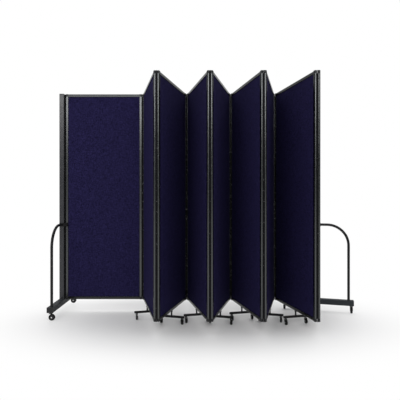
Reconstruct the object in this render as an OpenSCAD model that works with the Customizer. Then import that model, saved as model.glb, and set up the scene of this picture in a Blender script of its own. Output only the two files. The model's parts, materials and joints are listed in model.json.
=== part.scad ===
// Accordion folding partition on casters.
// Nine fabric-covered panels stand in slim frames and fold on full-length hinges.
// An end post on a cross beam with a bent tube arch closes each end of the row.
// X runs along the first panel, Y runs from its front to its back, and Z is up.
// The origin lies on the floor, under the middle of the folded screen.

/* [Panels] */
// Width of a panel over its two rounded edges
panel_w = 550.8; // [400:0.1:800]
// Height of a panel with its corner caps
panel_h = 1466; // [900:1:2200]
// Thickness of the frame
panel_t = 16; // [15:0.5:20]
// Height of the gap under a panel
panel_lift = 84; // [70:1:110]
// Width of the frame's face around the board
frame_face = 20; // [19:0.5:30]
// Wall of the hollow frame sections
frame_wall = 1.6; // [1.2:0.1:1.8]
// Height of the caps on top of the uprights
top_cap_h = 18; // [8:1:19]
// Height of the caps under the uprights
foot_cap_h = 18; // [8:1:19]

/* [Boards] */
// Thickness of a board with its fabric
board_t = 11; // [8:0.5:13]
// Thickness of the board's tongue
tongue_t = 5; // [3:0.5:6]
// Depth of the frame's groove for the tongue
groove_in = 8; // [5:0.5:8]
// Open line between a board's fabric and its frame
reveal = 1.5; // [0.5:0.1:4]

/* [Folds] */
// Angle between the first two panels
first_fold = 104.5; // [40:0.1:175]
// Angle between two neighbours in the folded stack
stack_fold = 29.6; // [24:0.1:60]

/* [Hinges] */
// Gap between two frames when the screen is straight
hinge_gap = 8; // [7.5:0.1:12]
// Distance of the hinge pin from the middle of the frame's thickness
hinge_off = 7; // [5.5:0.1:7.5]
// Diameter of a hinge knuckle
knuckle_d = 6.4; // [5.6:0.1:7]
// Diameter of the hinge pin
pin_d = 3; // [2:0.1:3.6]
// Number of knuckles along one hinge
knuckle_n = 23; // [5:2:41]
// Thickness of a hinge leaf
leaf_t = 1.6; // [1.2:0.1:2]

/* [Feet] */
// Length of a foot's crossbar
bar_l = 172; // [150:1:200]
// Width of the crossbar
bar_w = 12; // [10:0.5:14]
// Height of the crossbar
bar_h = 13.5; // [10:0.5:16]
// Distance between the two casters of a foot
bar_track = 140; // [110:1:146]
// Diameter of the stem between crossbar and panel
stem_d = 10; // [7:0.5:12]

/* [End frames] */
// Width of an end post
post_w = 33; // [30:1:40]
// Depth of an end post
post_d = 38; // [30:1:50]
// Gap between an end post and its panel
end_gap = 6; // [5:0.5:12]
// Length of the cross beam under an end post
beam_l = 492; // [470:1:600]
// Width of the cross beam
beam_w = 42; // [36:0.5:42.5]
// Height of the cross beam
beam_h = 36; // [28:0.5:40]
// Distance between the two legs of the arch
arch_span = 424; // [330:1:440]
// Height of the arch's level run
arch_rise = 618; // [400:1:800]
// Bend radius of the arch
arch_bend = 145; // [60:1:160]
// Diameter of the arch tube
tube_d = 18; // [14:0.5:22]
// Distance between the two casters of an end frame
beam_track = 460; // [430:1:464]

/* [End casters] */
// Radius of an end frame's wheel
end_wheel_r = 21; // [17:0.5:21]
// Width of an end frame's wheel
end_wheel_w = 14; // [10:0.5:16]
// Distance of the axle behind the swivel
end_trail = 8; // [4:0.5:10]
// Height of an end frame's caster
end_caster_h = 52; // [50:0.5:54]

/* [Foot casters] */
// Radius of a foot's wheel
foot_wheel_r = 15; // [12:0.5:15]
// Width of a foot's wheel
foot_wheel_w = 12; // [8:0.5:13]
// Distance of the axle behind the swivel
foot_trail = 6; // [3:0.5:6]
// Height of a foot's caster
foot_caster_h = 41.2; // [40:0.1:46]

/* [Hidden] */
$fn = 48;
panel_n = 9;
middle_panels = [for (i = [2 : panel_n - 1]) i];

// Each foot stands this far from its panel's middle, towards the panel's left hinge,
// so that the crossbars of two neighbours pass each other when the screen folds
foot_shift = [88, 30, 16, 30, 68, -22, -24];

// Clearances
seat = 0.3;
butt = 0.15;
run = 0.05;
play = 0.1;
over = 1;

// Frame sections and boards
groove_w = tongue_t + 2 * seat;
tongue_in = groove_in - 2 * seat;
chamber_end = frame_face - groove_in - frame_wall;
chamber_d = panel_t - 2 * frame_wall;
panel_top = panel_lift + panel_h;
upright_z = panel_lift + foot_cap_h;
upright_l = panel_h - top_cap_h - foot_cap_h;
cap_edge = 1.5;
cap_plug = 8;

// Hinges
axis_u = hinge_gap / 2 + panel_t / 2;
axis_reach = sqrt(axis_u * axis_u + hinge_off * hinge_off);
leaf_angle = atan2(hinge_off, axis_u);
leaf_in = frame_wall + 1.4;
leaf_end = axis_reach - panel_t / 2 + leaf_in;
leaf_start = knuckle_d / 2 + 0.5;

// The corner caps' plugs start clear of the hinge leaf and fill the rest of the chamber
plug_start = seat - hinge_gap / 2 + (leaf_end + play) * cos(leaf_angle)
    + (leaf_t / 2 + play) * sin(leaf_angle);
plug_d = 2 * sqrt(pow(chamber_d / 2, 2) - pow(panel_t / 2 - plug_start, 2)) - 4 * seat;
hinge_z = upright_z + over;
hinge_l = upright_l - 2 * over;
pin_out = 4;
pin_cap_d = knuckle_d - 0.4;
knuckle_pitch = hinge_l / knuckle_n;
knuckle_play = 0.6;

// Feet
bar_z = foot_caster_h + seat;
stem_in = min(10, chamber_end - play);
socket_in = 8;

// End frames
beam_z = end_caster_h + seat;
beam_top = beam_z + beam_h;
beam_wall = 2.5;
beam_round = 3;
cap_t = 4;
cap_proud = 0.75;
cap_lip = 0.25;
beam_plug = 1;
post_wall = 2;
post_round = 3;
post_cap_t = 3;
rib_t = 7;
tube_wall = 1.5;
bracket_t = 3;
bracket_h = 24;
block_h = 18;
block_w = 12;
beam_socket_in = 22;
beam_socket_d = 16;
post_x = end_gap + post_w / 2;

// Casters: head and stem diameters, axle radius, stem length
end_head_d = 22;
end_stem_d = 8;
end_axle_r = 3;
foot_head_d = 15;
foot_stem_d = 6;
foot_axle_r = 2.2;
cheek_t = 1.6;
cheek_gap = 0.6;
cheek_drop = 2;
eye_rim = 2.5;
nut_rim = 0.8;
nut_t = 1;
fork_top_t = 2;
fork_top_gap = 1.5;
hub_rim = 2.5;
hub_dish = 1.2;
tread_t = 1.5;

// Joint i lies between panel i and panel i + 1. Odd joints have their pin on the front
// side, even ones on the back side, and the row turns to and fro between them.
function pin_side(i) = i % 2 == 1 ? -1 : 1;
function turn(i) = pin_side(i) * (180 - (i == 1 ? first_fold : stack_fold));
function heading(i) = i == 1 ? 0 : heading(i - 1) + turn(i - 1);
function along(a) = [cos(a), sin(a)];
function across(a) = [-sin(a), cos(a)];
function hinge_pin(i) =
    panel_at(i) + (panel_w + hinge_gap / 2) * along(heading(i))
    + pin_side(i) * hinge_off * across(heading(i));
function panel_at(i) = i == 1 ? [0, 0] :
    hinge_pin(i - 1) + hinge_gap / 2 * along(heading(i))
    - pin_side(i - 1) * hinge_off * across(heading(i));
function on_panel(i, u, v) = panel_at(i) + u * along(heading(i)) + v * across(heading(i));

// The row's outermost points in plan: the end beams' corners and the folds
reach_x = post_x + beam_w / 2 + cap_proud;
reach_v = beam_l / 2;
corners = concat(
    [for (v = [-reach_v, reach_v]) on_panel(1, -reach_x, v)],
    [for (v = [-reach_v, reach_v]) on_panel(panel_n, panel_w + reach_x, v)],
    [for (i = [1 : panel_n - 1]) hinge_pin(i) - [0, knuckle_d / 2]]);
xs = [for (p = corners) p[0]];
ys = [for (p = corners) p[1]];
middle = [(min(xs) + max(xs)) / 2, (min(ys) + max(ys)) / 2];

// Puts its children on panel i: X runs along the panel, and the floor is at 0
module on(i) {
    translate(concat(panel_at(i) - middle, [0])) rotate(heading(i)) children();
}

// Puts its children under an end post, with X towards the panels
module at_end(side) {
    if (side == "left") on(1) translate([-post_x, 0, 0]) children();
    if (side == "right") on(panel_n) translate([panel_w + post_x, 0, 0]) mirror([1, 0, 0]) children();
}

// A square with round corners, centred
module round_square(size, r) {
    square([size[0] - 2 * r, size[1]], center = true);
    square([size[0], size[1] - 2 * r], center = true);
    for (x = [-1, 1], y = [-1, 1])
        translate([x * (size[0] / 2 - r), y * (size[1] / 2 - r)]) circle(r);
}

// Section of the frame: round outside at x = 0, groove for the board at x = frame_face.
// side tells on which face a hinge leaf is let into the round edge, 0 for none.
module frame_section(side = 0) {
    difference() {
        union() {
            translate([panel_t / 2, 0]) circle(d = panel_t);
            translate([panel_t / 2, -panel_t / 2]) square([frame_face - panel_t / 2, panel_t]);
        }
        translate([frame_face - groove_in, -groove_w / 2]) square([groove_in + over, groove_w]);
        intersection() {
            union() {
                translate([panel_t / 2, 0]) circle(d = chamber_d);
                translate([panel_t / 2, -chamber_d / 2]) square([frame_face, chamber_d]);
            }
            translate([0, -panel_t / 2]) square([chamber_end, panel_t]);
        }
        if (side != 0)
            translate([-hinge_gap / 2, side * hinge_off]) rotate(-side * leaf_angle)
                translate([leaf_start, -leaf_t / 2 - play])
                    square([leaf_end + play - leaf_start, leaf_t + 2 * play]);
    }
}

// Cap on an upright's end, its outer face up, with a plug for the hollow section
module corner_cap(h) {
    translate([plug_start, -plug_d / 2, -cap_plug])
        cube([chamber_end - seat - plug_start, plug_d, cap_plug + over]);
    translate([panel_t / 2, 0, 0]) {
        cylinder(d = panel_t, h = h - cap_edge);
        translate([0, 0, h - cap_edge]) cylinder(d1 = panel_t, d2 = panel_t - 2 * cap_edge, h = cap_edge);
        rotate([90, 0, 90]) linear_extrude(frame_face - panel_t / 2)
            polygon([
                [-panel_t / 2, 0], [panel_t / 2, 0], [panel_t / 2, h - cap_edge],
                [panel_t / 2 - cap_edge, h], [cap_edge - panel_t / 2, h],
                [-panel_t / 2, h - cap_edge]]);
    }
}

// One upright with its two caps, its outer edge at x = 0
module upright(side) {
    color([0.33, 0.34, 0.36])
        translate([0, 0, upright_z + butt]) linear_extrude(upright_l - 2 * butt) frame_section(side);
    color([0.10, 0.10, 0.11]) {
        translate([0, 0, panel_top - top_cap_h]) corner_cap(top_cap_h);
        translate([0, 0, upright_z]) mirror([0, 0, 1]) corner_cap(foot_cap_h);
    }
}

// Level rail between the uprights, its outer edge up at z = 0
module rail() {
    translate([frame_face + butt, 0, 0]) rotate([0, 90, 0])
        linear_extrude(panel_w - 2 * frame_face - 2 * butt) frame_section();
}

// Half of a full-length hinge, its pin at the origin and its upright towards +X.
// first is 0 for the half with the end knuckles and 1 for the other half.
module hinge_half(first) {
    color([0.16, 0.16, 0.17])
        translate([0, 0, hinge_z]) {
            translate([leaf_start, -leaf_t / 2, 0]) cube([leaf_end - leaf_start, leaf_t, hinge_l]);
            for (k = [first : 2 : knuckle_n - 1])
                translate([0, 0, k * knuckle_pitch + knuckle_play / 2]) knuckle();
        }
}

module knuckle() {
    h = knuckle_pitch - knuckle_play;
    difference() {
        union() {
            cylinder(d = knuckle_d, h = h);
            translate([0, -leaf_t / 2, 0]) cube([leaf_start + play, leaf_t, h]);
        }
        translate([0, 0, -over]) cylinder(d = pin_d + 2 * run, h = h + 2 * over);
    }
}

// Hinge pin with a cap on each end, nearly as tall as the corner caps beside it
module pin() {
    color([0.45, 0.45, 0.46])
        translate([0, 0, hinge_z - pin_out]) cylinder(d = pin_d, h = hinge_l + 2 * pin_out);
    color([0.10, 0.10, 0.11]) {
        translate([0, 0, hinge_z + hinge_l + butt]) pin_cap(top_cap_h - butt);
        translate([0, 0, hinge_z - butt]) mirror([0, 0, 1]) pin_cap(foot_cap_h - butt);
    }
}

module pin_cap(h) {
    difference() {
        cylinder(d = pin_cap_d, h = h);
        translate([0, 0, -over]) cylinder(d = pin_d + 2 * run, h = over + pin_out + seat);
    }
}

// Foot under a panel: crossbar along Y on two casters, and a stem up into the rail
module foot() {
    color([0.09, 0.09, 0.10])
        difference() {
            union() {
                translate([-bar_w / 2, -bar_l / 2 + bar_w / 2, bar_z])
                    cube([bar_w, bar_l - bar_w, bar_h]);
                for (s = [-1, 1])
                    translate([0, s * (bar_l - bar_w) / 2, bar_z]) cylinder(d = bar_w, h = bar_h);
                translate([0, 0, bar_z]) cylinder(d = stem_d, h = panel_lift + stem_in - bar_z);
            }
            for (s = [-1, 1])
                translate([0, s * bar_track / 2, bar_z - over])
                    cylinder(d = foot_stem_d + 2 * run, h = over + socket_in + seat);
        }
}

function has_foot(i) = i > 1 && i < panel_n;
function foot_u(i) = panel_w / 2 - foot_shift[i - 2];

// Frame of panel i with its hinge halves and its foot
module panel_frame(i) {
    left = i > 1 ? pin_side(i - 1) : 0;
    right = i < panel_n ? pin_side(i) : 0;
    on(i) {
        upright(left);
        translate([panel_w, 0, 0]) mirror([1, 0, 0]) upright(right);
        color([0.33, 0.34, 0.36]) {
            translate([0, 0, panel_top]) rail();
            difference() {
                translate([0, 0, panel_lift]) mirror([0, 0, 1]) rail();
                if (has_foot(i))
                    translate([foot_u(i), 0, panel_lift - over])
                        cylinder(d = stem_d + 2 * play, h = over + stem_in + play);
            }
        }
        if (left != 0)
            translate([-hinge_gap / 2, left * hinge_off, 0]) rotate(-left * leaf_angle) hinge_half(1);
        if (right != 0)
            translate([panel_w + hinge_gap / 2, right * hinge_off, 0]) {
                rotate(180 + right * leaf_angle) hinge_half(0);
                pin();
            }
        if (has_foot(i)) translate([foot_u(i), 0, 0]) foot();
    }
}

// Fabric-covered board of panel i, its tongue in the frame's groove
module panel_board(i) {
    pad = frame_face + reveal;
    tongue = frame_face - tongue_in;
    on(i) color([0.13, 0.12, 0.24]) {
        translate([pad, -board_t / 2, panel_lift + pad])
            cube([panel_w - 2 * pad, board_t, panel_h - 2 * pad]);
        translate([tongue, -tongue_t / 2, upright_z + seat])
            cube([panel_w - 2 * tongue, tongue_t, upright_l - 2 * seat]);
        translate([pad, -tongue_t / 2, panel_lift + tongue])
            cube([panel_w - 2 * pad, tongue_t, panel_h - 2 * tongue]);
    }
}

// End post on its beam, with a rib that closes the gap to the panel
module end_post(side) {
    tube_top = panel_top - post_cap_t;
    at_end(side) color([0.24, 0.25, 0.26]) {
        translate([0, 0, beam_top]) linear_extrude(tube_top - butt - beam_top) {
            difference() {
                round_square([post_w, post_d], post_round);
                round_square([post_w - 2 * post_wall, post_d - 2 * post_wall], post_round / 2);
            }
            translate([post_w / 2 - post_wall / 2, -rib_t / 2])
                square([end_gap - seat + post_wall / 2, rib_t]);
        }
        translate([0, 0, tube_top]) {
            linear_extrude(post_cap_t) round_square([post_w, post_d], post_round);
            translate([0, 0, -cap_plug]) linear_extrude(cap_plug + play)
                round_square([post_w - 2 * post_wall - 2 * seat, post_d - 2 * post_wall - 2 * seat], post_round / 2);
        }
    }
}

// Two bent tubes from the beam's ends to the post, each with a bracket at the post
module end_arch(side) {
    at_end(side) color([0.08, 0.08, 0.09]) {
        arch_half();
        mirror([0, 1, 0]) arch_half();
    }
}

module arch_half() {
    leg = arch_span / 2;
    run_start = post_d / 2 + bracket_t;
    translate([0, leg, beam_top]) linear_extrude(arch_rise - arch_bend - beam_top) tube_section();
    translate([0, leg - arch_bend, arch_rise - arch_bend]) rotate([90, 0, 90])
        rotate_extrude(angle = 90) translate([arch_bend, 0]) tube_section();
    translate([0, run_start, arch_rise]) rotate([-90, 0, 0])
        linear_extrude(leg - arch_bend - run_start) tube_section();
    translate([-post_w / 2, post_d / 2, arch_rise - bracket_h / 2])
        cube([post_w + end_gap + frame_face - over, bracket_t, bracket_h]);
    translate([post_x + frame_face / 2 - block_w / 2, panel_t / 2 + seat, arch_rise - block_h / 2])
        cube([block_w, post_d / 2 - panel_t / 2 - seat + over, block_h]);
}

module tube_section() {
    difference() {
        circle(d = tube_d);
        circle(d = tube_d - 2 * tube_wall);
    }
}

// Hollow cross beam with sockets for its casters and a cap in each end
module end_beam(side) {
    at_end(side) {
        color([0.22, 0.23, 0.25])
            translate([0, 0, beam_z + beam_h / 2]) difference() {
                union() {
                    rotate([90, 0, 0]) linear_extrude(beam_l - 2 * cap_t - 2 * butt, center = true)
                        difference() {
                            round_square([beam_w, beam_h], beam_round);
                            round_square([beam_w - 2 * beam_wall, beam_h - 2 * beam_wall], beam_round / 2);
                        }
                    for (s = [-1, 1])
                        translate([0, s * beam_track / 2, -beam_h / 2 + over])
                            cylinder(d = beam_socket_d, h = beam_h - 2 * over);
                }
                for (s = [-1, 1])
                    translate([0, s * beam_track / 2, -beam_h / 2 - over])
                        cylinder(d = end_stem_d + 2 * run, h = over + beam_socket_in + seat);
            }
        color([0.06, 0.06, 0.06]) {
            beam_cap();
            mirror([0, 1, 0]) beam_cap();
        }
    }
}

module beam_cap() {
    translate([0, beam_l / 2, beam_z + beam_h / 2]) rotate([90, 0, 0]) {
        linear_extrude(cap_t)
            round_square([beam_w + 2 * cap_proud, beam_h + 2 * cap_lip], beam_round);
        linear_extrude(cap_t + beam_plug)
            round_square([beam_w - 2 * beam_wall - 2 * seat, beam_h - 2 * beam_wall - 2 * seat], beam_round / 2);
    }
}

// Swivel fork with its axle: the swivel stands at the origin and the axle lies at x = trail
module fork(r, w, axle_r, trail, height, head_d, post_d, post_l) {
    out = w / 2 + cheek_gap + cheek_t;
    top = 2 * r + fork_top_gap;
    eye_r = axle_r + eye_rim;
    color([0.07, 0.07, 0.07]) {
        difference() {
            for (s = [-1, 1])
                translate([0, s * (out - cheek_t / 2) + cheek_t / 2, 0]) rotate([90, 0, 0])
                    linear_extrude(cheek_t) {
                        translate([trail, r]) circle(eye_r);
                        polygon([
                            [-head_d / 2, top + fork_top_t], [-head_d / 2, top - cheek_drop],
                            [trail - eye_r, r], [trail + eye_r, r],
                            [head_d / 2, top - cheek_drop], [head_d / 2, top + fork_top_t]]);
                    }
            translate([trail, 0, r]) rotate([90, 0, 0])
                cylinder(r = axle_r + run, h = 2 * out + over, center = true);
        }
        translate([-head_d / 2, -out, top]) cube([head_d, 2 * out, fork_top_t]);
        translate([0, 0, top]) cylinder(d = head_d, h = height - top);
        translate([0, 0, height - over]) cylinder(d = post_d, h = post_l + over);
    }
    color([0.70, 0.70, 0.72])
        translate([trail, 0, r]) rotate([90, 0, 0]) {
            cylinder(r = axle_r, h = 2 * out + 2 * play, center = true);
            for (s = [-1, 1])
                translate([0, 0, s * (out + play + nut_t / 2)])
                    cylinder(r = axle_r + nut_rim, h = nut_t, center = true);
        }
}

// Wheel on its axle at x = trail, with a dished side and round tread edges
module wheel(r, w, axle_r, trail) {
    bore = axle_r + run;
    hub = axle_r + hub_rim;
    edge = w / 5;
    color([0.05, 0.05, 0.05])
        translate([trail, 0, r]) rotate([90, 0, 0]) rotate_extrude()
            difference() {
                union() {
                    translate([bore, -w / 2]) square([r - edge - bore, w]);
                    translate([bore, edge - w / 2]) square([r - bore, w - 2 * edge]);
                    for (s = [-1, 1]) translate([r - edge, s * (w / 2 - edge)]) circle(edge);
                }
                for (s = [-1, 1])
                    translate([hub, s * w / 2 - hub_dish]) square([r - edge - tread_t - hub, 2 * hub_dish]);
            }
}

// Where the casters stand: under an end beam, or under a foot's crossbar
module end_caster(side, s) {
    at_end(side) translate([0, s * beam_track / 2, 0]) children();
}

module foot_caster(i, s) {
    on(i) translate([foot_u(i), s * bar_track / 2, 0]) children();
}

for (i = [1 : panel_n]) {
    panel_frame(i);
    panel_board(i);
}
for (side = ["left", "right"]) {
    end_post(side);
    end_arch(side);
    end_beam(side);
    for (s = [-1, 1]) {
        name = str(side, s < 0 ? "_front" : "_back");
        end_caster(side, s)
                fork(end_wheel_r, end_wheel_w, end_axle_r, end_trail, end_caster_h,
                    end_head_d, end_stem_d, beam_socket_in);
        end_caster(side, s) wheel(end_wheel_r, end_wheel_w, end_axle_r, end_trail);
    }
}
for (i = middle_panels, s = [-1, 1]) {
    name = str("foot_", i, s < 0 ? "_front" : "_back");
    foot_caster(i, s)
            fork(foot_wheel_r, foot_wheel_w, foot_axle_r, foot_trail, foot_caster_h,
                foot_head_d, foot_stem_d, socket_in);
    foot_caster(i, s) wheel(foot_wheel_r, foot_wheel_w, foot_axle_r, foot_trail);
}
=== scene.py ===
import json
import math

import bmesh
import bpy
from mathutils import Matrix, Vector


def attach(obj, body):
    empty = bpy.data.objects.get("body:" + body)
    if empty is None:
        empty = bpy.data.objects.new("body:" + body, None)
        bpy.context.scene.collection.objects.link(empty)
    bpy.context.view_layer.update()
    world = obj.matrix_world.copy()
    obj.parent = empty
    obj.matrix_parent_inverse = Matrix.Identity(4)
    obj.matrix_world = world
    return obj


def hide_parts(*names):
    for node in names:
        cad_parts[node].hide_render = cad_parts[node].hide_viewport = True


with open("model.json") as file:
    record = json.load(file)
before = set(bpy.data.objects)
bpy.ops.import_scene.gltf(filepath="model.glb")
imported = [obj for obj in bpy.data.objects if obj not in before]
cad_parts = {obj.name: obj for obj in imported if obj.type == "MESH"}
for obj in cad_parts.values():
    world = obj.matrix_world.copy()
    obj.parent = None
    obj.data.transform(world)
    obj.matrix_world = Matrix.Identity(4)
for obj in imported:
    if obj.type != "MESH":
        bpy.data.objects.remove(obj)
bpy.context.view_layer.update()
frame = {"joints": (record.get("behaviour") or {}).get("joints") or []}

# ---------------------------------------------------------------------------
# The row. Nine panels stand in a zigzag, each hung on the one before it.
# Every panel has a place of its own: X along it, Y through it, and Z up from the floor.
panel_count = 9
panel_width = 0.5508
hinge_gap = 0.008
hinge_offset = 0.007
joints = {j["name"]: j for j in frame["joints"]}


def pin_side(i):
    """The face of panel i on which its right-hand hinge has the pin."""
    return -1 if i % 2 else 1


def caster_under(i):
    """The front caster that stands under panel i, or under the end post beside it."""
    return {1: "left_front", panel_count: "right_front"}.get(i, f"foot_{i}_front")


def panel_body(i):
    """The body that panel i moves with."""
    return {1: "start", panel_count: "finish"}.get(i, f"panel_{i}")


def panel_place(i):
    """From the panel's own coordinates to the row's. Its casters roll on axles square to it."""
    through = Vector(joints[caster_under(i) + "_spin"]["axis"])
    along_panel = Vector((through.y, -through.x, 0))
    if i < panel_count:
        pin = Vector(joints[f"fold_{i}"]["pos_m"])
        corner = pin - along_panel * (panel_width + hinge_gap / 2) - through * pin_side(i) * hinge_offset
    else:
        pin = Vector(joints[f"fold_{i - 1}"]["pos_m"])
        corner = pin + along_panel * hinge_gap / 2 - through * pin_side(i - 1) * hinge_offset
    corner.z = 0
    return Matrix.Translation(corner) @ Matrix((along_panel, through, (0, 0, 1))).transposed().to_4x4()


places = {i: panel_place(i) for i in range(1, panel_count + 1)}

# ---------------------------------------------------------------------------
# Frames. Each panel is edged with a hollow aluminium extrusion, round on the outside,
# anodised satin grey, cut square and butted at the corners. Fine streaks run along it.
panel_bottom, panel_top = 0.084, 1.550
thickness = 0.016
face_width = 0.020
cap_height = 0.018
butt_line = 0.00015
round_margin = 0.00005
nose_radius = thickness / 2 - round_margin
nose_steps = 12
inner_corner = 0.0007
sawn_edge = 0.0002
to_right_end = Matrix.Translation((panel_width, 0, 0)) @ Matrix.Diagonal((-1, 1, 1, 1))
tolerance = 0.0001
crease_angle = 38


def lies_at(middle, at):
    return all(abs(getattr(middle, axis) - value) < tolerance for axis, value in at.items())


def along(axis, **at):
    """Picks edges that run along an axis, and whose middle lies where at says."""
    return lambda middle, way: abs(getattr(way, axis)) > 0.9 and lies_at(middle, at)


def across(axis, **at):
    """Picks edges that run across an axis, and whose middle lies where at says."""
    return lambda middle, way: abs(getattr(way, axis)) < 0.1 and lies_at(middle, at)


def every_edge(middle, way):
    return True


def box(low, high, edges, by, steps):
    """A box whose edges are rounded where edges() picks them."""
    bm = bmesh.new()
    bmesh.ops.create_cube(bm, size=1)
    low, high = Vector(low), Vector(high)
    bmesh.ops.scale(bm, vec=high - low, verts=bm.verts)
    bmesh.ops.translate(bm, vec=(low + high) / 2, verts=bm.verts)
    soften(bm, edges, by, steps)
    return bm


def soften(bm, edges, by, steps):
    """Rounds the edges that edges() picks by their middle and direction."""
    picked = []
    for e in bm.edges:
        a, b = e.verts[0].co, e.verts[1].co
        if edges((a + b) / 2, (b - a).normalized()):
            picked.append(e)
    bmesh.ops.bevel(bm, geom=picked, offset=by, segments=steps, profile=0.5, affect="EDGES",
                    material=-1, clamp_overlap=True)


def moved(bm, matrix):
    """The same mesh in another place; a mirrored one gets its faces turned back out."""
    bmesh.ops.transform(bm, matrix=matrix, verts=bm.verts)
    if matrix.determinant() < 0:
        bmesh.ops.reverse_faces(bm, faces=bm.faces)
    return bm


def joined(parts, material):
    """One mesh of all the parts, and its materials. A part is a mesh, or a mesh and a material."""
    materials = [material]
    whole = bmesh.new()
    for part in parts:
        bm, finish = part if isinstance(part, tuple) else (part, material)
        if finish not in materials:
            materials.append(finish)
        for f in bm.faces:
            f.material_index = materials.index(finish)
        mesh = bpy.data.meshes.new("part")
        bm.to_mesh(mesh)
        bm.free()
        whole.from_mesh(mesh)
        bpy.data.meshes.remove(mesh)
    return whole, materials


def piece(name, parts, place, material, body, crease=crease_angle):
    """Makes one object of the parts. The attribute "own" keeps the coordinates that they had
    before they were put in their place, for grain and weave."""
    whole, materials = joined(parts, material)
    mesh = bpy.data.meshes.new(name)
    whole.to_mesh(mesh)
    whole.free()
    own = mesh.attributes.new("own", "FLOAT_VECTOR", "POINT")
    own.data.foreach_set("vector", [c for v in mesh.vertices for c in v.co])
    mesh.transform(place)
    for m in materials:
        mesh.materials.append(m)
    mesh.shade_smooth()
    mesh.set_sharp_from_angle(angle=math.radians(crease))
    obj = bpy.data.objects.new(name, mesh)
    bpy.context.scene.collection.objects.link(obj)
    flat = obj.modifiers.new("flat_faces", "WEIGHTED_NORMAL")
    flat.keep_sharp = True
    flat.weight = 100
    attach(obj, body)
    return obj


def group(name, inputs, outputs):
    """An empty shader node group with named sockets, and its two end nodes."""
    tree = bpy.data.node_groups.new(name, "ShaderNodeTree")
    for label, kind, value in inputs:
        socket = tree.interface.new_socket(name=label, in_out="INPUT", socket_type=kind)
        if value is not None:
            socket.default_value = value
    for label, kind in outputs:
        tree.interface.new_socket(name=label, in_out="OUTPUT", socket_type=kind)
    return tree, tree.nodes.new("NodeGroupInput"), tree.nodes.new("NodeGroupOutput")


def feed(tree, socket, value):
    """Links an input to another node's output, or sets it to a number or colour."""
    if hasattr(value, "links"):
        tree.links.new(value, socket)
    elif value is not None:
        socket.default_value = value


def calc(tree, operation, a, b=None, c=None):
    """A Math node; a, b and c are sockets or numbers. Returns its output."""
    node = tree.nodes.new("ShaderNodeMath")
    node.operation = operation
    for socket, value in zip(node.inputs, (a, b, c)):
        feed(tree, socket, value)
    return node.outputs[0]


def noise(tree, vector, scale, detail, stretch=None):
    """Noise at so many waves a metre, stretched along an axis if stretch says so."""
    if stretch:
        mapping = tree.nodes.new("ShaderNodeMapping")
        mapping.inputs["Scale"].default_value = stretch
        tree.links.new(vector, mapping.inputs["Vector"])
        vector = mapping.outputs["Vector"]
    node = tree.nodes.new("ShaderNodeTexNoise")
    node.inputs["Scale"].default_value = scale
    node.inputs["Detail"].default_value = detail
    tree.links.new(vector, node.inputs["Vector"])
    return node.outputs["Fac"]


def ranged(tree, value, low, high, to_low=0.0, to_high=1.0, smooth=False):
    """Turns low..high into to_low..to_high, in a straight line or smoothly."""
    node = tree.nodes.new("ShaderNodeMapRange")
    if smooth:
        node.interpolation_type = "SMOOTHERSTEP"
    for label, number in (("From Min", low), ("From Max", high), ("To Min", to_low), ("To Max", to_high)):
        node.inputs[label].default_value = number
    tree.links.new(value, node.inputs["Value"])
    return node.outputs["Result"]


def color_mix(tree, blend, factor, first, second):
    """A Mix node for colours. Its colour sockets share their names with its number sockets, so
    they go by their places: 6 and 7 are the two colours, and 2 is the result."""
    node = tree.nodes.new("ShaderNodeMix")
    node.data_type = "RGBA"
    node.blend_type = blend
    feed(tree, node.inputs["Factor"], factor)
    feed(tree, node.inputs[6], first)
    feed(tree, node.inputs[7], second)
    return node.outputs[2]


def shaded(tree, color, level):
    """The colour times a level."""
    grey = tree.nodes.new("ShaderNodeCombineColor")
    for channel in grey.inputs:
        tree.links.new(level, channel)
    return color_mix(tree, "MULTIPLY", 1.0, color, grey.outputs[0])


def finish_group():
    """Shared surface life: mottling, handling marks and the dust that gathers near the floor."""
    cloud_gain = 4.0
    dust_height = 0.16
    dust_color = (0.23, 0.22, 0.20, 1)
    dust_roughness = 0.5
    tree, start, end = group(
        "surface_life",
        [("Color", "NodeSocketColor", None), ("Roughness", "NodeSocketFloat", 0.5),
         ("Mottle", "NodeSocketFloat", 0.06), ("Marks", "NodeSocketFloat", 0.1),
         ("Dust", "NodeSocketFloat", 0.1)],
        [("Color", "NodeSocketColor"), ("Roughness", "NodeSocketFloat")])
    where = tree.nodes.new("ShaderNodeTexCoord").outputs["Object"]
    height = tree.nodes.new("ShaderNodeSeparateXYZ")
    tree.links.new(where, height.inputs[0])

    cloud = calc(tree, "SUBTRACT", noise(tree, where, scale=9, detail=4), 0.5)
    cloud = calc(tree, "MULTIPLY", cloud, start.outputs["Mottle"])
    level = calc(tree, "ADD", 1.0, calc(tree, "MULTIPLY", cloud, cloud_gain))
    mottled = shaded(tree, start.outputs["Color"], level)

    low_down = ranged(tree, height.outputs["Z"], low=0.0, high=dust_height, to_low=1.0, to_high=0.0)
    specks = ranged(tree, noise(tree, where, scale=160, detail=5), low=0.42, high=0.66)
    settled = calc(tree, "MULTIPLY", calc(tree, "MULTIPLY", low_down, specks), start.outputs["Dust"])
    dusty = color_mix(tree, "MIX", settled, mottled, dust_color)
    tree.links.new(dusty, end.inputs["Color"])

    rub = ranged(tree, noise(tree, where, scale=34, detail=6), low=0.5, high=0.72)
    rub = calc(tree, "MULTIPLY", rub, start.outputs["Marks"])
    rough = calc(tree, "ADD", start.outputs["Roughness"], rub)
    rough = calc(tree, "ADD", rough, calc(tree, "MULTIPLY", settled, dust_roughness))
    tree.links.new(rough, end.inputs["Roughness"])
    return tree


surface_life = finish_group()


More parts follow.
